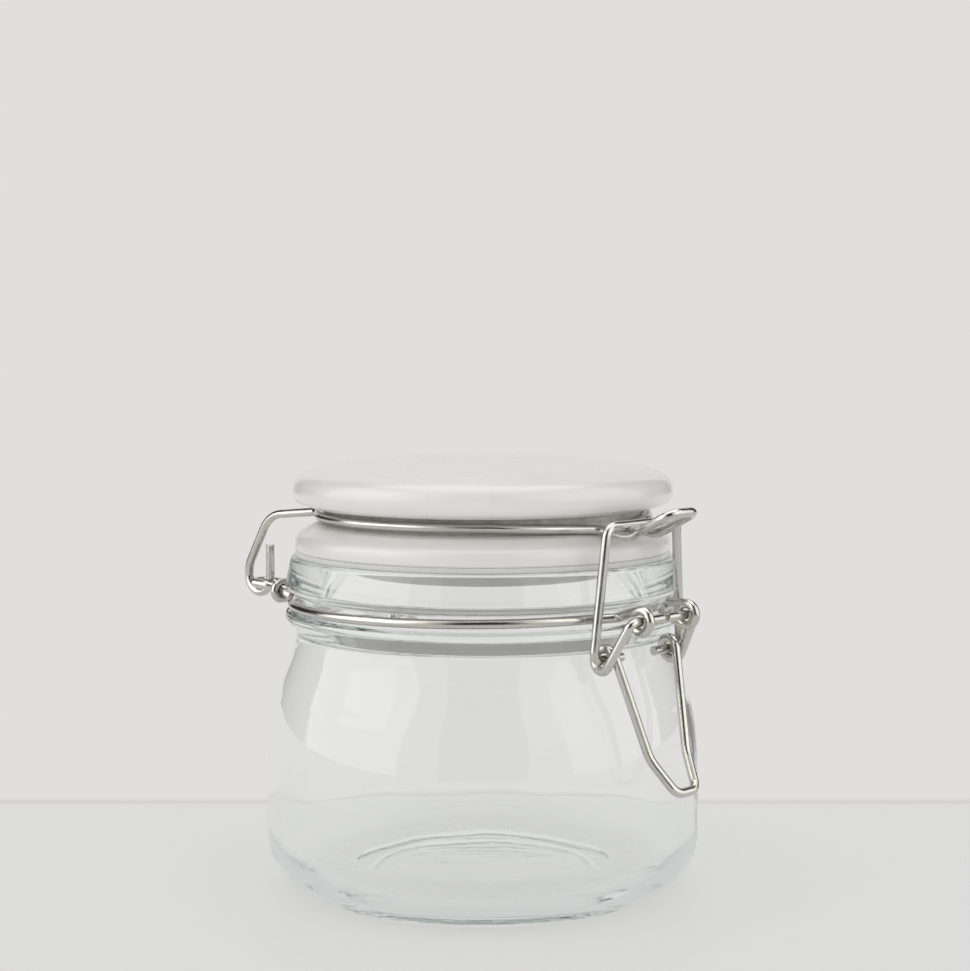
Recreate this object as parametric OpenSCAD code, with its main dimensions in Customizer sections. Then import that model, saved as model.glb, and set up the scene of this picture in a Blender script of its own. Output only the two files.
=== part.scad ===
// Bail clamp jar: a squat glass jar with a ceramic lid on a wire hinge and an over-centre wire latch.
// The origin is the centre of the base. +Z is up, the latch is at +X and the hinge at -X.

/* [Glass jar] */
// Greatest radius of the body
body_r = 53.4; // [52.8:0.1:54.2]
// Height of the glass rim
rim_z = 82.0; // [81.8:0.1:82.1]
// Outer radius of the narrow waist under the bead
waist_r = 46.2; // [45.6:0.1:46.3]
// Radius of the bead under the neck groove
bead_r = 48.9; // [48.4:0.1:49.0]
// Radius of the floor of the neck groove
neck_groove_r = 45.8; // [45.2:0.1:45.9]
// Greatest radius of the collar above the neck groove
collar_r = 49.0; // [48.6:0.1:49.1]
// Radius of the mouth
mouth_r = 42.2; // [41.8:0.1:42.6]
// Thickness of the body wall
wall = 3.2; // [2.6:0.1:3.6]
// Thickness of the glass over the resting ring
floor_t = 5.2; // [4.4:0.1:6.0]

/* [Lid and gasket] */
// Height of the top of the dome
top_z = 106; // [105:0.5:107]
// Radius of the dome's rounded edge
dome_r = 47.6; // [47.0:0.1:47.8]
// Radius of the floor of the lid groove
lid_groove_r = 39.4; // [38.8:0.1:39.5]
// Radius of the flange that presses on the gasket
flange_r = 46.4; // [45.8:0.1:46.6]
// Radius of the plug that hangs in the mouth
plug_r = 38.4; // [37.8:0.1:38.5]
// Thickness of the gasket
gasket_t = 1.2; // [1.0:0.1:1.2]

/* [Wire] */
// Diameter of the spring wire
wire_d = 2.2; // [2.0:0.05:2.2]
// Diameter of the thinner wire of the hinge ties
tie_d = 1.9; // [1.7:0.05:1.9]

/* [Hinge] */
// Distance of the hinge bars behind the jar's axis
hinge_x = 55.6; // [55.4:0.1:55.8]
// Height of the hinge bars
hinge_z = 72.6; // [72.5:0.1:72.7]
// Distance of each hinge eye from the middle
hinge_y = 25; // [24.8:0.1:25.2]

/* [Latch] */
// Distance of the lever's pivot in front of the jar's axis
pivot_x = 56.8; // [56.7:0.1:57.0]
// Height of the lever's pivot
pivot_z = 71.1; // [71.0:0.1:71.2]
// Distance of each neck eye from the middle
eye_y = 8.4; // [8.2:0.1:8.6]
// Distance of the lever's coils in front of the jar's axis
coil_x = 49.1; // [49.0:0.1:49.3]
// Height of the lever's coils
coil_z = 62.0; // [61.9:0.1:62.1]
// Distance of the link's crossbar in front of the jar's axis
bar_x = 50.3; // [50.2:0.1:50.5]
// Height of the link's crossbar, over the nose of the bail
bar_z = 92.5; // [92.4:0.1:92.6]

/* [Hidden] */
$fn = 96;

wire_r = wire_d / 2;
tie_r = tie_d / 2;
// A straight pin stands this far out of the flat facets of the wire that carries it
pin_proud = 0.02;
pin_r = wire_r + pin_proud;
// Radius of an eye's centreline, which leaves running clearance round a pin
loop_r = 2.55;
sides = 12;
bend_step = 18;
ring_step = 6;

// Neck band: pairs are [x, z], and turns are angles round the neck from the latch
band_r = 47.2;
band_z = 70.45;
band_rise = 0.6;
eye_stem = [49.8, 0.2];
front_turn = 17;
outer_leg_turn = 140;
inner_leg_turn = 155.5;
leg_root = [-41, 69.8];
leg_gap = 1.3;
eye_half = 2.9;
eye_corner = 2.0;
eye_end = 5.5;
tie_x = 45.8;
tie_drop = 1.6;
tie_play = 0.08;

// Lid bail
bail_r = 40.75;
bail_z = 91.9;
bail_dip = 1.1;
dip_turn = 45;
hook_r = 4.15;
hook_x = hinge_x - 0.15;
hook_z = 73.9;
hook_pin_top = 82.3;
knee_z = 76.4;
shoulder_x = 4 - hook_x;
shoulder_z = 90;
leg_end_x = -33;
leg_turn = 139;
nose_turn = 19;
nose_y = 5;
nose_root = [41.5, 90.8];
nose_dip = [50.5, 89.5];
nose_tip = [62.3, 95.7];

// Latch
pin_bend = 2.4;
coil_pitch = 2.3;
coil_y = 12.4;
link_bottom_y = 15.95;
link_top_y = 12.7;
link_pin_end = 5.8;
lever_pin_end = 0.8;
lever_arm_y = 12.0;
reach = [58.2, 39.5];
reach_y = 6.8;
lever_tip = [63.6, 31.8];
lever_tip_y = 3.6;

function unit(v) = v / norm(v);
function xyz(p) = [p.x, p.y, p.z];
function mirrored(path) = [for (i = [len(path) - 1:-1:0]) [path[i].x, -path[i].y, path[i].z, path[i][3]]];

// The round stretch that replaces a corner p between a and b, with radius r
function bend(a, p, b, r) =
    let (u = unit(p - a), v = unit(b - p), turn = acos(max(-1, min(1, u * v))))
    turn < 0.5 ? [p] :
    let (start = p - u * r * tan(turn / 2), n = unit(v - u * (u * v)), steps = ceil(turn / bend_step))
    [for (i = [0:steps]) let (t = turn * i / steps) start + u * r * sin(t) + n * r * (1 - cos(t))];

// Rounds each corner of a path of [x, y, z, radius]; radius 0 keeps the point
function softened(path) =
    [for (i = [0:len(path) - 1])
        each (i == 0 || i == len(path) - 1 || path[i][3] == 0) ? [xyz(path[i])]
            : bend(xyz(path[i - 1]), xyz(path[i]), xyz(path[i + 1]), path[i][3])];

// Outline in the XZ plane from [x, z, radius] corners
function outline(corners) =
    [for (p = softened([for (c = corners) [c[0], 0, c[1], c[2]]])) [p.x, p.z]];

function bezier(a, b, c, d, steps) =
    [for (i = [0:steps]) let (t = i / steps, s = 1 - t)
        a * s * s * s + b * 3 * s * s * t + c * 3 * s * t * t + d * t * t * t];

// Points on a circle of radius r about [x, z] in the plane y, from angle a to b, drifting by dy
function loop(x, y, z, r, a, b, dy = 0) =
    let (steps = ceil(abs(b - a) / bend_step))
    [for (i = [0:steps]) let (f = i / steps, t = a + (b - a) * f)
        [x + r * cos(t), y + dy * f, z + r * sin(t), 0]];

function tangents(p, closed) =
    let (n = len(p))
    [for (i = [0:n - 1])
        unit(p[closed ? (i + 1) % n : min(n - 1, i + 1)] - p[closed ? (i + n - 1) % n : max(0, i - 1)])];

function first_normal(t) = unit(cross(t, abs(t.z) < 0.9 ? [0, 0, 1] : [1, 0, 0]));

function normals(t) =
    [for (i = 0, n = first_normal(t[0]); i < len(t);
        i = i + 1, n = i < len(t) ? unit(n - t[i] * (n * t[i])) : n) n];

// A round wire swept along points, with square-cut ends or closed on itself
module wire(p, r, closed = false) {
    t = tangents(p, closed);
    n = normals(t);
    last = len(p) - 1;
    rings = [for (i = [0:last]) let (b = cross(t[i], n[i]))
        each [for (j = [0:sides - 1]) p[i] + r * (n[i] * cos(360 * j / sides) + b * sin(360 * j / sides))]];
    walls = [for (i = [0:closed ? last : last - 1], j = [0:sides - 1])
        let (here = i * sides, next = ((i + 1) % (last + 1)) * sides, k = (j + 1) % sides)
        [next + j, next + k, here + k, here + j]];
    caps = closed ? [] : [[for (j = [0:sides - 1]) j], [for (j = [sides - 1:-1:0]) last * sides + j]];
    polyhedron(rings, concat(walls, caps), convexity = 10);
}

module pin_y(x, y, z, length)
    translate([x, y, z]) rotate([90, 0, 0]) cylinder(r = pin_r, h = length, center = true);

function ring_point(r, z, rise, a) = [r * cos(a), r * sin(a), z + rise * cos(a), 0];
function band_arc(a, b) =
    let (steps = ceil(abs(b - a) / ring_step))
    [for (i = [0:steps]) ring_point(band_r, band_z, band_rise, a + (b - a) * i / steps)];

// The angle, on a circle of radius r, at which a line from the point [dx, dz] off its centre touches it
function touch(dx, dz, r, side) = atan2(dz, dx) + side * acos(r / norm([dx, dz]));

module jar_body() {
    shoulder = bezier([body_r, 20], [body_r + 0.6, 50], [waist_r + 1.8, 52], [waist_r, 62.5], 14);
    inside = bezier([mouth_r + 0.6, 62.5], [waist_r - 1.6, 50.5], [body_r - 2.8, 48.5], [body_r - wall, 20], 14);
    outer = outline([
        [0, 1.8, 0], [26, 1.6, 14], [33, 0, 8], [body_r, 0, 13], [body_r, 20, 0]]);
    neck = outline([
        [waist_r, 62.5, 0], [waist_r, 63.4, 2.2], [bead_r, 66.3, 1.3], [bead_r, 68.2, 0.7],
        [neck_groove_r, 68.7, 0.7], [neck_groove_r, 72.9, 1], [collar_r, 74, 1.3],
        [collar_r - 1.6, rim_z, 1.3], [mouth_r, rim_z, 1.2],
        [mouth_r - 0.4, 72, 6], [mouth_r + 0.6, 62.5, 0]]);
    cavity = outline([
        [body_r - wall, 20, 0], [body_r - wall, floor_t, 9.5], [20, floor_t, 20], [0, floor_t - 0.3, 0]]);
    tail = [for (list = [neck, inside, cavity]) each [for (i = [1:len(list) - 1]) list[i]]];
    front = concat(outer, [for (i = [1:len(shoulder) - 1]) shoulder[i]]);
    color("powderblue", 0.4)
        rotate_extrude() polygon(concat(front, tail));
}

module lid() {
    seat = rim_z + gasket_t + 0.2;
    color("ivory")
        rotate_extrude() polygon(outline([
            [0, top_z, 0], [24, top_z - 0.4, 60], [40, top_z - 2.2, 26], [dome_r, top_z - 5.2, 4.2],
            [dome_r - 0.6, top_z - 10.6, 2.4], [lid_groove_r + 3.2, top_z - 12, 2],
            [lid_groove_r, top_z - 12.2, 0.8], [lid_groove_r, 90.3, 0.8], [lid_groove_r + 2.6, 89.4, 2.4],
            [flange_r, 86.9, 2.6], [flange_r, seat, 0.5], [plug_r, seat, 0.3], [plug_r, 77.2, 1.6],
            [plug_r - 4.6, 77.2, 1.6], [plug_r - 5.6, 92, 5], [0, 94, 0]]));
}

module gasket() {
    bottom = rim_z + 0.1;
    color("whitesmoke")
        rotate_extrude() polygon(outline([
            [plug_r + 1.9, bottom, 0], [flange_r - 0.1, bottom, 0.35], [flange_r - 0.1, bottom + gasket_t, 0.35],
            [plug_r + 0.3, bottom + gasket_t, 0.3], [plug_r + 0.3, bottom, 0.3], [plug_r + 1.9, bottom, 0]]));
}

// One wire round the neck: a curled eye at each front end and a pinched eye at each side of the back
module neck_band() {
    dx = eye_stem[0] - pivot_x;
    dz = eye_stem[1];
    near_eye = loop(pivot_x, -eye_y, pivot_z, loop_r, -150, touch(dx, dz, loop_r, -1));
    far_eye = loop(pivot_x, eye_y, pivot_z, loop_r, touch(dx, -dz, loop_r, 1) - 360, 90);
    back_eye = [
        [leg_root[0], -hinge_y - leg_gap, leg_root[1], 2.5],
        [-tie_x - 1.6, -hinge_y - leg_gap, hinge_z - 1.2, 3],
        [-tie_x - 4, -hinge_y - eye_half, hinge_z - 0.3, 1.8],
        [-hinge_x, -hinge_y - eye_half, hinge_z, eye_corner],
        [-hinge_x, -hinge_y + eye_half, hinge_z, eye_corner],
        [-tie_x - 4, -hinge_y + eye_half, hinge_z - 0.3, 1.8],
        [-tie_x - 1.6, -hinge_y + leg_gap, hinge_z - 1.2, 3],
        [leg_root[0], -hinge_y + leg_gap, leg_root[1], 1.7]];
    route = concat(
        near_eye,
        [[eye_stem[0], -eye_y, pivot_z + dz, 3]],
        band_arc(-front_turn, -outer_leg_turn), back_eye,
        band_arc(-inner_leg_turn, inner_leg_turn - 360), mirrored(back_eye),
        band_arc(outer_leg_turn - 360, front_turn - 360),
        [[eye_stem[0], eye_y, pivot_z - dz, 3]],
        far_eye, [[pivot_x - eye_end, eye_y, pivot_z + loop_r, 0]]);
    color("silver") {
        wire(softened(route), wire_r);
        for (y = [-hinge_y, hinge_y]) pin_y(-hinge_x, y, hinge_z, 2 * (eye_half - eye_corner));
    }
}

// A small ring of wire pinches the two legs of each hinge eye together
module hinge_ties() {
    r = wire_r + tie_play + tie_r;
    z = hinge_z - tie_drop;
    color("silver")
        for (y = [-hinge_y, hinge_y])
            wire([for (side = [-1, 1], a = [0:bend_step:180])
                [-tie_x, y + side * leg_gap + side * r * sin(a), z - side * r * cos(a)]], tie_r, true);
}

// One wire held in the lid groove: a hook at each back end and the nose under the link's crossbar
module lid_bail() {
    bail_arc_z = function (a) bail_z - bail_dip * max(0, 1 - a / dip_turn);
    half = concat(
        [[-hook_x + hook_r, -hinge_y, hook_pin_top, 0]],
        loop(-hook_x, -hinge_y, hook_z, hook_r, 0, -180),
        [[-hook_x - hook_r, -hinge_y, knee_z, 8], [shoulder_x, -hinge_y, shoulder_z, 9],
            [leg_end_x, -hinge_y, bail_z, 4]],
        [for (a = [leg_turn:-ring_step:nose_turn]) [bail_r * cos(a), -bail_r * sin(a), bail_arc_z(a), 0]],
        [[nose_root[0], -nose_y, nose_root[1], 3.5], [nose_dip[0], -nose_y, nose_dip[1], 6],
            [nose_tip[0], -nose_y, nose_tip[1], 3.2]]);
    color("silver") wire(softened(concat(half, mirrored(half))), wire_r);
}

// A long loop of wire whose ends turn in through the lever's coils
module latch_link() {
    half = [
        [coil_x, -link_pin_end - 2, coil_z, 0],
        [coil_x, -link_bottom_y, coil_z, 2],
        [bar_x, -link_top_y, bar_z, 3]];
    pin_l = link_bottom_y - pin_bend - link_pin_end;
    color("silver") {
        wire(softened(concat(half, mirrored(half))), wire_r);
        for (side = [-1, 1]) pin_y(coil_x, side * (link_pin_end + pin_l / 2), coil_z, pin_l);
    }
}

// One wire: pins turned in through the neck eyes, a coil on each arm and a thumb loop kicked outward
module latch_lever() {
    in_a = touch(pivot_x - coil_x, pivot_z - coil_z, loop_r, -1);
    out_a = touch(reach[0] - coil_x, reach[1] - coil_z, loop_r, 1);
    half = concat(
        [[pivot_x, -lever_pin_end - 2, pivot_z, 0], [pivot_x, -lever_arm_y, pivot_z, 2]],
        loop(coil_x, -coil_y - coil_pitch / 2, coil_z, loop_r, in_a, out_a - 360, coil_pitch),
        [[reach[0], -reach_y, reach[1], 5], [lever_tip[0], -lever_tip_y, lever_tip[1], 3]]);
    pin_l = lever_arm_y - pin_bend - lever_pin_end;
    color("silver") {
        wire(softened(concat(half, mirrored(half))), wire_r);
        for (side = [-1, 1]) pin_y(pivot_x, side * (lever_pin_end + pin_l / 2), pivot_z, pin_l);
    }
}

jar_body();
lid();
gasket();
neck_band();
hinge_ties();
lid_bail();
latch_link();
latch_lever();
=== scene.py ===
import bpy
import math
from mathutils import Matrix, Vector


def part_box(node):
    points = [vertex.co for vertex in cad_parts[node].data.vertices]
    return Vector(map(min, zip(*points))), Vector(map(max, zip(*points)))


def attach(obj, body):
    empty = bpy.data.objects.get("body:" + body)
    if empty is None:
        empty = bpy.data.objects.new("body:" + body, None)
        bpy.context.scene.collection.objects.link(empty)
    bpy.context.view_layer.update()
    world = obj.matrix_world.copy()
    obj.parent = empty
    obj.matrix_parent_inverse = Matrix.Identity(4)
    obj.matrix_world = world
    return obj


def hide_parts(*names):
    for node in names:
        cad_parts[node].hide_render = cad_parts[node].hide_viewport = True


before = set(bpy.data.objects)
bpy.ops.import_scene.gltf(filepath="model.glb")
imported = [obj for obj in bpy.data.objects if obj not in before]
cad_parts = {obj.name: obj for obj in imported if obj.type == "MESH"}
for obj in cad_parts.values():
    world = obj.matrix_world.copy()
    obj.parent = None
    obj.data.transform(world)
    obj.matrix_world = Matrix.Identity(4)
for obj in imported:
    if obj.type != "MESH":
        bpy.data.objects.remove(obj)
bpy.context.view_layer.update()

# A bail clamp jar seen on a pale table. The shapes are worked out in millimetres and become metres
# in each mesh. The jar stands on z = 0 with its axis at the origin; the latch is at +X, the hinge at -X.

MM = 0.001


def corner(node, side):
    """A corner of a CAD node's box, in millimetres: side 0 is the lowest, side 1 the highest."""
    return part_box(node)[side] / MM


# ---------------------------------------------------------------- sizes

BODY_R = corner("jar_body", 1).y
RIM_Z = corner("jar_body", 1).z
TOP_Z = corner("lid", 1).z
PLUG_Z = corner("lid", 0).z
DOME_R = corner("lid", 1).y
FLANGE_LIP = 0.1
FLANGE_R = corner("gasket", 1).y + FLANGE_LIP
GASKET_BOTTOM, GASKET_TOP = corner("gasket", 0).z, corner("gasket", 1).z

WAIST_R, BEAD_R, NECK_GROOVE_R, COLLAR_R = 46.2, 48.9, 45.8, 49.0
MOUTH_R, WALL, FLOOR_T = 42.2, 3.2, 5.2
LID_GROOVE_R, PLUG_R = 39.4, 38.4
SIDE_TOP = 20
SEAT_GAP = 0.1
# The CAD leaves a gap above and below the gasket; here it closes against the rim and the flange
SQUEEZE = 0.08

WIRE_R, TIE_R = 1.1, 0.95
LOOP_R = 2.55
HINGE_X, HINGE_Y, HINGE_Z = 55.6, 25.0, 72.6
TIE_X, TIE_DROP, LEG_GAP = 45.8, 1.6, 1.3
PIVOT_X, PIVOT_Z, EYE_Y = 56.8, 71.1, 8.4
COIL_X, COIL_Z, COIL_Y, COIL_PITCH = 49.1, 62.0, 12.4, 2.3
BAR_X, BAR_Z = 50.3, 92.5
LINK_BOTTOM_Y, LINK_TOP_Y, LINK_PIN_END = 15.95, 12.7, 5.8
LEVER_ARM_Y, LEVER_PIN_END = 12.0, 0.8

# How finely the shapes are divided: steps are degrees, and the longest straight stretch is in millimetres
LATHE_STEPS = 240
WIRE_SIDES = 28
BEND_STEP = 6.0
RING_STEP = 2.5
LONGEST_STRETCH = 2.0
END_CHAMFER = 0.14
SHARP_ANGLE = 35

# The glass is out of round only within this radius and between these heights
UNEVEN_R = 51.2
UNEVEN_LOW, UNEVEN_HIGH = FLOOR_T + 6, 72

# The photograph's viewing angle, in degrees and millimetres: from beside the latch and slightly above
VIEW_AZIMUTH = 43.0
VIEW_PITCH = 4.2
VIEW_DISTANCE = 491.8
VIEW_HEIGHT = 134.83
VIEW_SIDESTEP = 0.51
VIEW_LENS = 73.9

# Where the table meets the wall behind the jar, measured back from the jar's axis along the view
WALL_LINE = 79.0
WALL_COLOUR = (0.745, 0.737, 0.724, 1)
# The painted shadow along the wall's foot, which fades into the wall's colour
WALL_FOOT_SHADOW = (0.63, 0.62, 0.605, 1)

# A light table: this share of its light comes from within, which keeps the shadows faint
TABLE_COLOUR = (0.742, 0.742, 0.735, 1)
TABLE_GLOW = 0.74

# The dark sides of the room, in metres, and how far away they are, in millimetres
CARD_W, CARD_H = 0.85, 1.5
CARD_AWAY = 1000

# The soft lights' distance from the jar's axis and the height they point at, in millimetres
LIGHT_AWAY = 900
LIGHT_AIM_Z = 60
# Light that has passed through the jar's four walls and reflected inside them needs long paths
LONG_PATH, GLOSSY_PATH = 28, 20


def placed(right, back, up):
    """A point given as the camera sees it: right of the jar's axis, back towards the camera, and up."""
    a = math.radians(VIEW_AZIMUTH)
    x = right * math.cos(a) + back * math.sin(a)
    y = right * math.sin(a) - back * math.cos(a)
    return Vector((x, y, up)) * MM


# ---------------------------------------------------------------- paths

def arc_steps(turn, step):
    return max(2, math.ceil(abs(turn) / math.radians(step)))


def bend(before, at, after, radius):
    """The round stretch that replaces a corner."""
    u = (at - before).normalized()
    v = (after - at).normalized()
    turn = math.acos(max(-1, min(1, u.dot(v))))
    if turn < 0.01:
        return [at]
    start = at - u * radius * math.tan(turn / 2)
    n = (v - u * u.dot(v)).normalized()
    steps = arc_steps(turn, BEND_STEP)
    return [start + u * radius * math.sin(turn * i / steps) + n * radius * (1 - math.cos(turn * i / steps))
            for i in range(steps + 1)]


def softened(corners):
    """Points of a path of (x, y, z, radius) corners; radius 0 keeps the corner."""
    at = [Vector(c[:3]) for c in corners]
    points = []
    for i, c in enumerate(corners):
        if 0 < i < len(corners) - 1 and c[3] > 0:
            points += bend(at[i - 1], at[i], at[i + 1], c[3])
        else:
            points.append(at[i])
    return points


def profile(*corners):
    """Points of a (radius, z, rounding) outline."""
    return [(p.x, p.z) for p in softened([(r, 0, z, rounding) for r, z, rounding in corners])]


def bezier(a, b, c, d, steps=40):
    """Points of a cubic curve in the outline's plane."""
    points = []
    for i in range(steps + 1):
        t = i / steps
        s = 1 - t
        weights = (s ** 3, 3 * s * s * t, 3 * s * t * t, t ** 3)
        points.append(tuple(sum(w * p[k] for w, p in zip(weights, (a, b, c, d))) for k in (0, 1)))
    return points


def loop(x, y, z, radius, start, end, drift=0.0):
    """Corners on a circle about (x, z) in the plane y, between two angles in degrees, drifting along y."""
    steps = arc_steps(math.radians(end - start), BEND_STEP)
    corners = []
    for i in range(steps + 1):
        f = i / steps
        t = math.radians(start + (end - start) * f)
        corners.append((x + radius * math.cos(t), y + drift * f, z + radius * math.sin(t), 0))
    return corners


def touch(dx, dz, radius, side):
    """The angle, on a circle, at which a line from the point (dx, dz) off its centre touches it."""
    return math.degrees(math.atan2(dz, dx) + side * math.acos(radius / math.hypot(dx, dz)))


def mirrored(corners):
    return [(x, -y, z, radius) for x, y, z, radius in reversed(corners)]


# ---------------------------------------------------------------- meshes

def in_scene(name, data):
    """A new object of that mesh, light or camera, linked to the scene."""
    new = bpy.data.objects.new(name, data)
    bpy.context.scene.collection.objects.link(new)
    return new


def finished(name, verts, faces, material):
    """A mesh object in metres from points in millimetres, smooth but for its sharp edges."""
    mesh = bpy.data.meshes.new(name)
    mesh.from_pydata([Vector(v) * MM for v in verts], [], faces)
    mesh.validate()
    for polygon in mesh.polygons:
        polygon.use_smooth = True
    mesh.set_sharp_from_angle(angle=math.radians(SHARP_ANGLE))
    mesh.materials.append(material)
    return in_scene(name, mesh)


def lathe(name, outline, material, unevenness=None):
    """Turns an outline of (radius, z) points about the jar's axis. Its first and last points are on the
    axis, or else it closes on itself. unevenness(angle, radius, z) is added to the radius."""
    on_axis = outline[0][0] < 1e-6
    ring = outline[1:-1] if on_axis else outline
    verts = []
    for i in range(LATHE_STEPS):
        angle = math.tau * i / LATHE_STEPS
        for radius, z in ring:
            r = radius + (unevenness(angle, radius, z) if unevenness else 0)
            verts.append((r * math.cos(angle), r * math.sin(angle), z))
    count = len(ring)
    faces = []
    for i in range(LATHE_STEPS):
        here, there = i * count, (i + 1) % LATHE_STEPS * count
        for k in range(count - 1 if on_axis else count):
            up = (k + 1) % count
            faces.append((here + k, there + k, there + up, here + up))
    if on_axis:
        first, last = len(verts), len(verts) + 1
        verts += [(0, 0, outline[0][1]), (0, 0, outline[-1][1])]
        for i in range(LATHE_STEPS):
            here, there = i * count, (i + 1) % LATHE_STEPS * count
            faces.append((first, there, here))
            faces.append((last, here + count - 1, there + count - 1))
    return finished(name, verts, faces, material)


def resampled(points):
    """The same path with its long straight stretches divided, so the finish follows them evenly."""
    dense = [points[0]]
    for a, b in zip(points, points[1:]):
        if (b - a).length < 1e-4:
            continue
        pieces = max(1, math.ceil((b - a).length / LONGEST_STRETCH))
        dense += [a.lerp(b, i / pieces) for i in range(1, pieces + 1)]
    return dense


def wire_mesh(points, radius, closed=False):
    """Points, faces and draw marks of a round wire. A mark tells how far along and where round it is."""
    points = resampled(points + points[:1] if closed else points)
    if closed:
        points = points[:-1]
    count = len(points)
    tangents = []
    for i in range(count):
        after = points[(i + 1) % count] if closed else points[min(count - 1, i + 1)]
        before = points[i - 1] if closed else points[max(0, i - 1)]
        tangents.append((after - before).normalized())
    across = Vector((0, 0, 1)) if abs(tangents[0].z) < 0.9 else Vector((1, 0, 0))
    side = tangents[0].cross(across).normalized()
    rings = []
    travelled = 0
    for i in range(count):
        side = (side - tangents[i] * side.dot(tangents[i])).normalized()
        if i:
            travelled += (points[i] - points[i - 1]).length
        rings.append((points[i], tangents[i], side.copy(), travelled, radius))
    if not closed:
        p, t, s, along, r = rings[0]
        rings[0] = (p + t * END_CHAMFER, t, s, along, r)
        rings.insert(0, (p, t, s, along, r - END_CHAMFER))
        p, t, s, along, r = rings[-1]
        rings[-1] = (p - t * END_CHAMFER, t, s, along, r)
        rings.append((p, t, s, along, r - END_CHAMFER))
    verts, marks = [], []
    for p, t, s, along, r in rings:
        b = t.cross(s)
        for j in range(WIRE_SIDES):
            angle = math.tau * j / WIRE_SIDES
            verts.append(p + r * (s * math.cos(angle) + b * math.sin(angle)))
            marks.append((along * MM, radius * math.cos(angle) * MM, radius * math.sin(angle) * MM))
    faces = []
    for i in range(len(rings) if closed else len(rings) - 1):
        here, there = i * WIRE_SIDES, (i + 1) % len(rings) * WIRE_SIDES
        for j in range(WIRE_SIDES):
            k = (j + 1) % WIRE_SIDES
            faces.append((here + j, here + k, there + k, there + j))
    if not closed:
        faces.append(tuple(range(WIRE_SIDES - 1, -1, -1)))
        faces.append(tuple(len(verts) - WIRE_SIDES + j for j in range(WIRE_SIDES)))
    return verts, faces, marks


def wire(name, material, routes, radius=WIRE_R, closed=False):
    """One object of one or more round wires, with their draw marks kept on its points as an attribute."""
    verts, faces, marks = [], [], []
    for route in routes:
        v, f, m = wire_mesh(route, radius, closed)
        faces += [tuple(i + len(verts) for i in face) for face in f]
        verts += v
        marks += m
    piece = finished(name, verts, faces, material)
    attribute = piece.data.attributes.new("draw", "FLOAT_VECTOR", "POINT")
    attribute.data.foreach_set("vector", [value for mark in marks for value in mark])
    return piece


def stands_for(piece, node, body):
    """The piece takes a CAD node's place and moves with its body."""
    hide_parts(node)
    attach(piece, body)


# ---------------------------------------------------------------- materials

class Finish:
    """A node material with a few helpers, so that each material below reads as a list of what it shows."""

    def __init__(self, name):
        self.material = bpy.data.materials.new(name)
        self.material.use_nodes = True
        self.nodes = self.material.node_tree.nodes
        self.links = self.material.node_tree.links
        self.shader = self.nodes["Principled BSDF"]
        self.output = self.nodes["Material Output"]

    def add(self, kind, **settings):
        node = self.nodes.new("ShaderNode" + kind)
        for name, value in settings.items():
            setattr(node, name, value)
        return node

    def join(self, source, target):
        self.links.new(source, target)

    def place(self, stretch=(1, 1, 1)):
        """The piece's own coordinates in metres, stretched."""
        mapping = self.add("Mapping")
        mapping.inputs["Scale"].default_value = stretch
        self.join(self.add("TexCoord").outputs["Object"], mapping.inputs["Vector"])
        return mapping.outputs["Vector"]

    def along_wire(self, stretch):
        """Coordinates that follow a wire, stretched."""
        mapping = self.add("Mapping")
        mapping.inputs["Scale"].default_value = stretch
        self.join(self.add("Attribute", attribute_name="draw").outputs["Vector"], mapping.inputs["Vector"])
        return mapping.outputs["Vector"]

    def noise(self, at, scale, detail=3.0, roughness=0.55):
        node = self.add("TexNoise")
        node.inputs["Scale"].default_value = scale
        node.inputs["Detail"].default_value = detail
        node.inputs["Roughness"].default_value = roughness
        self.join(at, node.inputs["Vector"])
        return node.outputs["Fac"]

    def ranged(self, value, low, high, to_low, to_high):
        node = self.add("MapRange")
        self.join(value, node.inputs["Value"])
        limits = (("From Min", low), ("From Max", high), ("To Min", to_low), ("To Max", to_high))
        for name, number in limits:
            node.inputs[name].default_value = number
        return node.outputs["Result"]

    def math(self, operation, a, b):
        node = self.add("Math", operation=operation)
        for socket, value in zip(node.inputs, (a, b)):
            if isinstance(value, (int, float)):
                socket.default_value = value
            else:
                self.join(value, socket)
        return node.outputs[0]

    def mixed(self, factor, a, b):
        """A colour between a and b."""
        node = self.add("Mix", data_type="RGBA")
        self.join(factor, node.inputs["Factor"])
        colours = [socket for socket in node.inputs if socket.type == "RGBA"]
        for socket, value in zip(colours, (a, b)):
            if isinstance(value, tuple):
                socket.default_value = value
            else:
                self.join(value, socket)
        return next(socket for socket in node.outputs if socket.type == "RGBA")

    def bump(self, height, distance, below=None):
        """A surface normal raised by height. distance is in metres; below is a coarser bump under it."""
        node = self.add("Bump")
        node.inputs["Strength"].default_value = 1.0
        node.inputs["Distance"].default_value = distance
        self.join(height, node.inputs["Height"])
        if below:
            self.join(below, node.inputs["Normal"])
        return node.outputs["Normal"]

    def set(self, **values):
        """Links or sets the shader's sockets; an underscore in a name stands for a space."""
        for name, value in values.items():
            socket = self.shader.inputs[name.replace("_", " ")]
            if hasattr(value, "is_linked"):
                self.join(value, socket)
            else:
                socket.default_value = value


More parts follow.
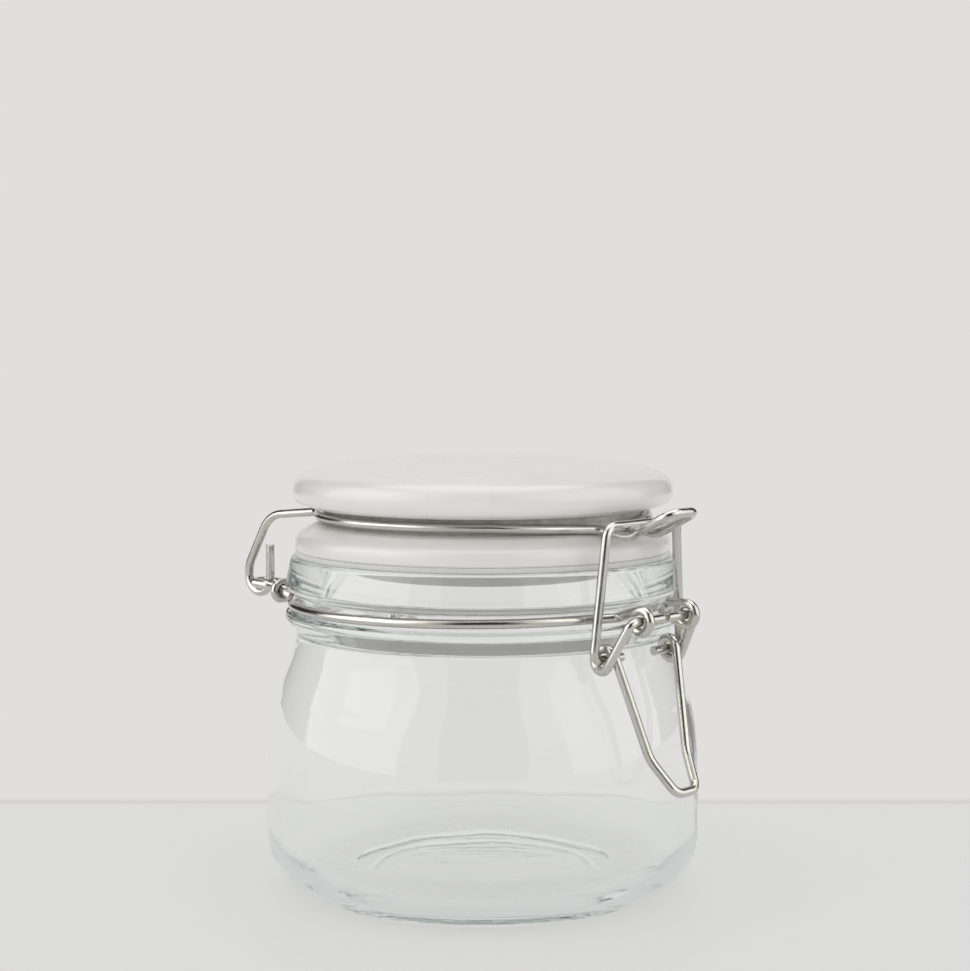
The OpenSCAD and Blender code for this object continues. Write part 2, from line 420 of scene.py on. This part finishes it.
def steel(name, tone):
    """Bright drawn wire: fine lines along its length, soft smudges and a few dull patches."""
    f = Finish(name)
    lines = f.noise(f.along_wire((60, 5200, 5200)), 1.0, detail=4, roughness=0.65)
    smudge = f.noise(f.place(), 190, detail=3)
    patch = f.noise(f.along_wire((55, 160, 160)), 1.0, detail=2)
    worn = f.ranged(patch, 0.52, 0.7, 0, 1)
    bright = tuple(min(1, c * 1.1) for c in tone) + (1,)
    dull = tuple(c * 0.78 for c in tone) + (1,)
    lined = f.mixed(f.ranged(lines, 0.3, 0.7, 0, 1), dull, bright)
    f.set(Base_Color=f.mixed(f.math("MULTIPLY", worn, 0.35), lined, dull))
    rough = f.math("ADD", f.ranged(lines, 0.25, 0.75, 0.05, 0.13), f.ranged(smudge, 0.35, 0.7, 0.0, 0.06))
    f.set(Roughness=f.math("ADD", rough, f.math("MULTIPLY", worn, 0.07)))
    f.set(Normal=f.bump(lines, 0.000035, below=f.bump(smudge, 0.00006)))
    f.set(Metallic=1.0)
    return f.material


def clear_glass():
    """Pressed glass: clear, faintly blue-green where it is thick, gently wavy, with a few smears."""
    f = Finish("clear_glass")
    wave = f.noise(f.place((1, 1, 0.45)), 55, detail=1.5, roughness=0.4)
    ripple = f.noise(f.place((1, 1, 0.6)), 210, detail=2, roughness=0.5)
    smear = f.noise(f.place((1, 1, 0.7)), 38, detail=4, roughness=0.6)
    smeared = f.ranged(smear, 0.4, 0.7, 0, 1)
    f.set(Base_Color=f.mixed(smeared, (0.997, 1.0, 0.998, 1), (0.99, 0.996, 0.993, 1)))
    f.set(Roughness=f.ranged(smear, 0.45, 0.75, 0.0, 0.035))
    f.set(Normal=f.bump(wave, 0.00022, below=f.bump(ripple, 0.00002)))
    f.set(Transmission_Weight=1.0, IOR=1.5)
    body = f.add("VolumeAbsorption")
    body.inputs["Color"].default_value = (0.35, 0.80, 0.72, 1)
    body.inputs["Density"].default_value = 2.2
    f.join(body.outputs["Volume"], f.output.inputs["Volume"])
    return f.material


def white_ceramic():
    """Glazed porcelain: a satin warm white, softly uneven, with brownish marks worn by the wire and
    painted shade in the hollow where the wire sits.
    """
    f = Finish("white_ceramic")
    cloud = f.noise(f.place(), 34, detail=3)
    peel = f.noise(f.place(), 420, detail=2)
    speck = f.noise(f.place(), 2600, detail=1)
    rub_and_shade_noise = f.noise(f.place((1, 1, 3)), 300, detail=5, roughness=0.7)
    glaze = f.mixed(f.ranged(cloud, 0.35, 0.65, 0, 1), (0.87, 0.86, 0.84, 1), (0.9, 0.893, 0.878, 1))
    specked = f.mixed(f.ranged(speck, 0.73, 0.8, 0, 0.5), glaze, (0.56, 0.53, 0.48, 1))
    split = f.add("SeparateXYZ")
    f.join(f.place(), split.inputs[0])
    # The worn marks and the painted shade keep to the lid's wire channel: between two heights, and between
    # the plug and the flange
    low = f.ranged(split.outputs["Z"], 0.0890, 0.0906, 0, 1)
    high = f.ranged(split.outputs["Z"], 0.0938, 0.0946, 1, 0)
    from_axis = f.add("VectorMath", operation="LENGTH")
    f.join(f.place((1, 1, 0)), from_axis.inputs[0])
    deep = f.ranged(from_axis.outputs["Value"], 0.0395, 0.0445, 1, 0)
    outside = f.ranged(from_axis.outputs["Value"], 0.0386, 0.0391, 0, 1)
    band = f.math("MULTIPLY", f.math("MULTIPLY", low, high), f.math("MULTIPLY", deep, outside))
    groove_rub_and_shade = f.math("MULTIPLY", band, f.ranged(rub_and_shade_noise, 0.38, 0.62, 0.35, 0.75))
    # Painted shade: the wire's channel darkens to a warm brown, partly marks worn by the wire and partly
    # shade in the recess
    f.set(Base_Color=f.mixed(groove_rub_and_shade, specked, (0.36, 0.32, 0.27, 1)))
    f.set(Roughness=f.math("ADD", f.ranged(cloud, 0.3, 0.7, 0.2, 0.3), f.math("MULTIPLY", groove_rub_and_shade, 0.3)))
    f.set(Normal=f.bump(peel, 0.000012, below=f.bump(cloud, 0.00016)))
    f.set(IOR=1.54, Coat_Weight=0.12, Coat_Roughness=0.1, Subsurface_Weight=0.08)
    f.shader.inputs["Subsurface Radius"].default_value = (0.004, 0.0035, 0.003)
    f.shader.inputs["Subsurface Scale"].default_value = 1.0
    return f.material


def seal_rubber():
    """Translucent white silicone with a fine matt skin."""
    f = Finish("seal_rubber")
    cloud = f.noise(f.place(), 90, detail=3)
    skin = f.noise(f.place(), 2200, detail=3)
    clouded = f.ranged(cloud, 0.35, 0.65, 0, 1)
    f.set(Base_Color=f.mixed(clouded, (0.92, 0.93, 0.915, 1), (0.96, 0.965, 0.95, 1)))
    f.set(Roughness=f.ranged(skin, 0.3, 0.7, 0.38, 0.58))
    f.set(Normal=f.bump(skin, 0.00004))
    f.set(IOR=1.42, Subsurface_Weight=0.6)
    f.shader.inputs["Subsurface Radius"].default_value = (0.004, 0.004, 0.004)
    f.shader.inputs["Subsurface Scale"].default_value = 1.0
    return f.material


def table_top():
    """A plain matt white table. Past the wall's line it takes the wall's even colour, with a painted
    shadow along the wall's foot.
    """
    f = Finish("table_top")
    cloud = f.noise(f.place(), 6, detail=3)
    grain = f.noise(f.place(), 900, detail=2)
    clouded = f.ranged(cloud, 0.35, 0.65, 0, 1)
    f.set(Base_Color=f.mixed(clouded, (0.85, 0.85, 0.845, 1), (0.87, 0.87, 0.865, 1)))
    f.set(Roughness=f.ranged(grain, 0.3, 0.7, 0.42, 0.55))
    f.set(Normal=f.bump(grain, 0.00002))
    glow = f.add("Emission")
    glow.inputs["Color"].default_value = TABLE_COLOUR
    lit = f.add("MixShader")
    lit.inputs[0].default_value = TABLE_GLOW
    f.join(f.shader.outputs["BSDF"], lit.inputs[1])
    f.join(glow.outputs["Emission"], lit.inputs[2])
    wall = f.add("Emission")
    split = f.add("SeparateXYZ")
    f.join(f.place(), split.inputs[0])
    # Painted shadow: a darker strip just past the wall's line, where the wall's foot would be shaded
    shade = f.ranged(split.outputs["Y"], 0.001, 0.009, 0, 1)
    f.join(f.mixed(shade, WALL_FOOT_SHADOW, WALL_COLOUR), wall.inputs["Color"])
    behind = f.ranged(split.outputs["Y"], 0.0, 0.002, 0, 1)
    mix = f.add("MixShader")
    f.join(behind, mix.inputs[0])
    f.join(lit.outputs["Shader"], mix.inputs[1])
    f.join(wall.outputs["Emission"], mix.inputs[2])
    f.join(mix.outputs["Shader"], f.output.inputs["Surface"])
    return f.material


def dark_card():
    """Matt black card."""
    f = Finish("dark_card")
    weave = f.noise(f.place(), 700, detail=2)
    f.set(Base_Color=f.mixed(weave, (0.03, 0.03, 0.03, 1), (0.045, 0.045, 0.045, 1)), Roughness=0.9)
    return f.material


# ---------------------------------------------------------------- jar, lid and gasket

def glass_unevenness(angle, radius, z):
    """Pressed glass is a little out of round: here inside, and outside where the jar is narrow."""
    if radius > UNEVEN_R or not UNEVEN_LOW < z < UNEVEN_HIGH:
        return 0
    fade = min(1, (z - UNEVEN_LOW) / 12, (UNEVEN_HIGH - z) / 8)
    return fade * (0.16 * math.sin(2 * angle + 0.6 + z / 40) + 0.09 * math.sin(5 * angle + 2.1 - z / 22)
                   + 0.04 * math.sin(11 * angle + z / 15))


def build_jar():
    base = profile((0, 1.8, 0), (26, 1.6, 14), (33, 0, 8), (BODY_R, 0, 13), (BODY_R, SIDE_TOP, 0))
    shoulder = bezier((BODY_R, SIDE_TOP), (BODY_R + 0.6, 50), (WAIST_R + 1.8, 52), (WAIST_R, 62.5))
    neck = profile(
        (WAIST_R, 62.5, 0), (WAIST_R, 63.4, 2.2), (BEAD_R, 66.8, 1.2), (BEAD_R, 68.2, 0.7),
        (NECK_GROOVE_R, 68.7, 0.7), (NECK_GROOVE_R, 72.9, 1), (COLLAR_R, 74, 1.3),
        (COLLAR_R - 1.6, RIM_Z, 1.3), (MOUTH_R, RIM_Z, 1.2),
        (MOUTH_R - 0.4, 72, 6), (MOUTH_R + 0.6, 62.5, 0))
    inside = bezier(
        (MOUTH_R + 0.6, 62.5), (WAIST_R - 1.6, 50.5), (BODY_R - 2.8, 48.5), (BODY_R - WALL, SIDE_TOP))
    cavity = profile(
        (BODY_R - WALL, SIDE_TOP, 0), (BODY_R - WALL, FLOOR_T, 9.5), (20, FLOOR_T, 20),
        (0, FLOOR_T - 0.3, 0))
    outline = base + shoulder[1:] + neck[1:] + inside[1:] + cavity[1:]
    jar = lathe("jar_glass", outline, clear_glass(), glass_unevenness)
    stands_for(jar, "jar_body", "jar")


def build_lid():
    seat = GASKET_TOP + SEAT_GAP
    under = TOP_Z - 12
    outline = profile(
        (0, TOP_Z, 0), (24, TOP_Z - 0.4, 60), (40, TOP_Z - 2.2, 26), (DOME_R, TOP_Z - 5.2, 4.2),
        (DOME_R - 0.6, TOP_Z - 10.6, 2.4), (LID_GROOVE_R + 3.2, under, 2),
        (LID_GROOVE_R, under - 0.2, 0.8), (LID_GROOVE_R, 90.3, 0.8), (LID_GROOVE_R + 2.6, 89.4, 2.4),
        (FLANGE_R, 86.9, 2.6), (FLANGE_R, seat, 0.5), (PLUG_R, seat, 0.3), (PLUG_R, PLUG_Z, 1.6),
        (PLUG_R - 4.6, PLUG_Z, 1.6), (PLUG_R - 5.6, 92, 5), (0, 94, 0))
    lid = lathe("lid_ceramic", outline, white_ceramic())
    stands_for(lid, "lid", "lid")


def build_gasket():
    play, rounding = 0.3, 0.3
    inner, outer = PLUG_R + play, FLANGE_R - FLANGE_LIP
    middle = (inner + outer) / 2
    bottom, top = GASKET_BOTTOM - SQUEEZE, GASKET_TOP + SQUEEZE
    outline = profile(
        (middle, bottom, 0), (outer, bottom, rounding), (outer, top, rounding),
        (inner, top, rounding), (inner, bottom, rounding), (middle, bottom, 0))
    gasket = lathe("gasket_ring", outline[:-1], seal_rubber())
    stands_for(gasket, "gasket", "lid")


# ---------------------------------------------------------------- wires

def build_neck_band():
    band_r, band_z, band_rise = 47.2, 70.45, 0.6
    stem_x, stem_dz = 49.8, 0.2
    root_x, root_z, eye_half = 41, 69.8, 2.9
    front_gap, side_end, back_start = 17, 140, 155.5
    tail = 5.5
    dx = stem_x - PIVOT_X

    def arc(a, b):
        steps = arc_steps(math.radians(b - a), RING_STEP)
        angles = [math.radians(a + (b - a) * i / steps) for i in range(steps + 1)]
        return [(band_r * math.cos(t), band_r * math.sin(t), band_z + band_rise * math.cos(t), 0)
                for t in angles]

    near_eye = loop(PIVOT_X, -EYE_Y, PIVOT_Z, LOOP_R, -150, touch(dx, stem_dz, LOOP_R, -1))
    far_eye = loop(PIVOT_X, EYE_Y, PIVOT_Z, LOOP_R, touch(dx, -stem_dz, LOOP_R, 1) - 360, 90)
    back_eye = [
        (-root_x, -HINGE_Y - LEG_GAP, root_z, 2.5),
        (-TIE_X - 1.6, -HINGE_Y - LEG_GAP, HINGE_Z - 1.2, 3),
        (-TIE_X - 4, -HINGE_Y - eye_half, HINGE_Z - 0.3, 1.8),
        (-HINGE_X, -HINGE_Y - eye_half, HINGE_Z, 2),
        (-HINGE_X, -HINGE_Y + eye_half, HINGE_Z, 2),
        (-TIE_X - 4, -HINGE_Y + eye_half, HINGE_Z - 0.3, 1.8),
        (-TIE_X - 1.6, -HINGE_Y + LEG_GAP, HINGE_Z - 1.2, 3),
        (-root_x, -HINGE_Y + LEG_GAP, root_z, 1.7)]
    route = (
        near_eye + [(stem_x, -EYE_Y, PIVOT_Z + stem_dz, 3)]
        + arc(-front_gap, -side_end) + back_eye + arc(-back_start, back_start - 360) + mirrored(back_eye)
        + arc(side_end - 360, front_gap - 360) + [(stem_x, EYE_Y, PIVOT_Z - stem_dz, 3)]
        + far_eye + [(PIVOT_X - tail, EYE_Y, PIVOT_Z + LOOP_R, 0)])
    band = wire("neck_wire", steel("band_wire", (0.64, 0.615, 0.575)), [softened(route)])
    stands_for(band, "neck_band", "jar")


def build_hinge_ties():
    play = 0.08
    r = WIRE_R + play + TIE_R
    z = HINGE_Z - TIE_DROP
    half_turn = round(180 / BEND_STEP)
    routes = []
    for y in (-HINGE_Y, HINGE_Y):
        ring = []
        for side in (-1, 1):
            for i in range(half_turn + 1):
                t = math.radians(BEND_STEP * i)
                across = LEG_GAP + r * math.sin(t)
                ring.append(Vector((-TIE_X, y + side * across, z - side * r * math.cos(t))))
        routes.append(ring)
    ties = wire("hinge_tie_rings", steel("tie_wire", (0.62, 0.60, 0.57)), routes, TIE_R, closed=True)
    stands_for(ties, "hinge_ties", "jar")


def build_lid_bail():
    ring_r, ring_z, ring_start, ring_end = 40.75, 91.9, 139, 19
    dip, dip_start = 1.1, 45
    hook_r, hook_x, hook_z, pin_top = 4.15, HINGE_X - 0.15, 73.9, 82.3
    knee_z, shoulder_x, shoulder_z, leg_end_x = 76.4, 4 - hook_x, 90, 33
    nose_root_x, nose_root_z, nose_low_x, nose_low_z = 41.5, 90.8, 50.5, 89.5
    nose_x, nose_y, nose_z = 62.3, 5, 95.7
    ring = []
    a = ring_start
    while a >= ring_end:
        t = math.radians(a)
        z = ring_z - dip * max(0, (dip_start - a) / dip_start)
        ring.append((ring_r * math.cos(t), -ring_r * math.sin(t), z, 0))
        a -= RING_STEP
    half = (
        [(hook_r - hook_x, -HINGE_Y, pin_top, 0)]
        + loop(-hook_x, -HINGE_Y, hook_z, hook_r, 0, -180)
        + [(-hook_x - hook_r, -HINGE_Y, knee_z, 8), (shoulder_x, -HINGE_Y, shoulder_z, 9),
           (-leg_end_x, -HINGE_Y, ring_z, 4)]
        + ring
        + [(nose_root_x, -nose_y, nose_root_z, 3.5), (nose_low_x, -nose_y, nose_low_z, 6),
           (nose_x, -nose_y, nose_z, 3.2)])
    route = softened(half + mirrored(half))
    bail = wire("bail_wire_loop", steel("bail_wire", (0.64, 0.62, 0.58)), [route])
    stands_for(bail, "lid_bail", "lid")


def build_latch_link():
    half = [
        (COIL_X, -LINK_PIN_END, COIL_Z, 0), (COIL_X, -LINK_BOTTOM_Y, COIL_Z, 2),
        (BAR_X, -LINK_TOP_Y, BAR_Z, 3)]
    route = softened(half + mirrored(half))
    link = wire("link_wire_loop", steel("link_wire", (0.64, 0.62, 0.585)), [route])
    stands_for(link, "latch_link", "link")


def build_latch_lever():
    reach_x, reach_y, reach_z = 58.2, 6.8, 39.5
    tip_x, tip_y, tip_z = 63.6, 3.6, 31.8
    in_angle = touch(PIVOT_X - COIL_X, PIVOT_Z - COIL_Z, LOOP_R, -1)
    out_angle = touch(reach_x - COIL_X, reach_z - COIL_Z, LOOP_R, 1)
    half = (
        [(PIVOT_X, -LEVER_PIN_END, PIVOT_Z, 0), (PIVOT_X, -LEVER_ARM_Y, PIVOT_Z, 2)]
        + loop(COIL_X, -COIL_Y - COIL_PITCH / 2, COIL_Z, LOOP_R, in_angle, out_angle - 360, COIL_PITCH)
        + [(reach_x, -reach_y, reach_z, 12), (tip_x, -tip_y, tip_z, 3)])
    route = softened(half + mirrored(half))
    lever = wire("lever_wire_loop", steel("lever_wire", (0.65, 0.63, 0.59)), [route])
    stands_for(lever, "latch_lever", "lever")


# ---------------------------------------------------------------- stage

def build_table():
    """A wide flat table; its own Y axis points away from the camera and is zero at the wall's line."""
    mesh = bpy.data.meshes.new("table")
    near, seam, far, half = -1.2, 0.001, 6.0, 3.0
    mesh.from_pydata(
        [(-half, near, 0), (half, near, 0), (half, seam, 0), (-half, seam, 0),
         (half, far, 0), (-half, far, 0)],
        [], [(0, 1, 2, 3), (3, 2, 4, 5)])
    mesh.materials.append(table_top())
    table = in_scene("table", mesh)
    table.location = placed(0, -WALL_LINE, 0)
    table.rotation_euler = (0, 0, math.radians(VIEW_AZIMUTH))


def build_card(name, turn, material):
    """A dark side of the room, seen only in reflections, turned to the right from the camera's side."""
    mesh = bpy.data.meshes.new(name)
    mesh.from_pydata(
        [(-CARD_W / 2, 0, 0), (CARD_W / 2, 0, 0), (CARD_W / 2, 0, CARD_H), (-CARD_W / 2, 0, CARD_H)],
        [], [(0, 1, 2, 3)])
    mesh.materials.append(material)
    card = in_scene(name, mesh)
    t = math.radians(turn)
    card.location = placed(CARD_AWAY * math.sin(t), CARD_AWAY * math.cos(t), 0)
    card.rotation_euler = (0, 0, math.radians(VIEW_AZIMUTH) + t)
    for ray in ("camera", "diffuse", "transmission", "shadow"):
        setattr(card, "visible_" + ray, False)


def scrim(name, turn, distance, up, width, height, radiance, tint=(1, 1, 1), gloss_only=False):
    """A broad soft light, width by height in metres. It is turned to the right from the camera's side, and
    stands that distance from the axis and that far up, in millimetres."""
    light = bpy.data.lights.new(name, "AREA")
    light.shape = "RECTANGLE"
    light.size, light.size_y = width, height
    light.energy = math.pi * width * height * radiance
    light.color = tint
    lamp = in_scene(name, light)
    t = math.radians(turn)
    lamp.location = placed(distance * math.sin(t), distance * math.cos(t), up)
    aim = placed(0, 0, LIGHT_AIM_Z) - lamp.location
    lamp.rotation_euler = aim.to_track_quat("-Z", "Y").to_euler()
    lamp.visible_camera = False
    lamp.visible_transmission = False
    lamp.visible_diffuse = not gloss_only


def build_lights():
    world = bpy.data.worlds.new("pale_room")
    world.use_nodes = True
    background = world.node_tree.nodes["Background"]
    background.inputs["Color"].default_value = WALL_COLOUR
    background.inputs["Strength"].default_value = 1.0
    bpy.context.scene.world = world
    bpy.context.scene.view_settings.view_transform = "Standard"
    scrim("key", -70, LIGHT_AWAY, 600, 0.6, 0.6, 0.7, (1, 0.99, 0.97))
    scrim("fill", 40, LIGHT_AWAY, 500, 0.6, 0.6, 0.35)
    scrim("scrim_left", -74, LIGHT_AWAY, 330, 1.15, 1.3, 1.2, gloss_only=True)
    scrim("scrim_right", 76, LIGHT_AWAY, 330, 1.15, 1.3, 0.75, gloss_only=True)
    scrim("scrim_top", 180, 60, 1000, 1.0, 0.8, 1.4, gloss_only=True)
    cycles = bpy.context.scene.cycles
    cycles.max_bounces = LONG_PATH
    cycles.transmission_bounces = LONG_PATH
    cycles.glossy_bounces = GLOSSY_PATH


def build_camera():
    data = bpy.data.cameras.new("camera")
    data.lens = VIEW_LENS
    data.sensor_width = 36
    camera = in_scene("camera", data)
    camera.location = placed(VIEW_SIDESTEP, VIEW_DISTANCE, VIEW_HEIGHT)
    camera.rotation_euler = (math.radians(90 - VIEW_PITCH), 0, math.radians(VIEW_AZIMUTH))
    bpy.context.scene.camera = camera


build_camera()
build_jar()
build_lid()
build_gasket()
build_neck_band()
build_hinge_ties()
build_lid_bail()
build_latch_link()
build_latch_lever()
build_table()
card_finish = dark_card()
build_card("card_front", 0, card_finish)
build_card("card_left", -130, card_finish)
build_card("card_right", 130, card_finish)
build_lights()
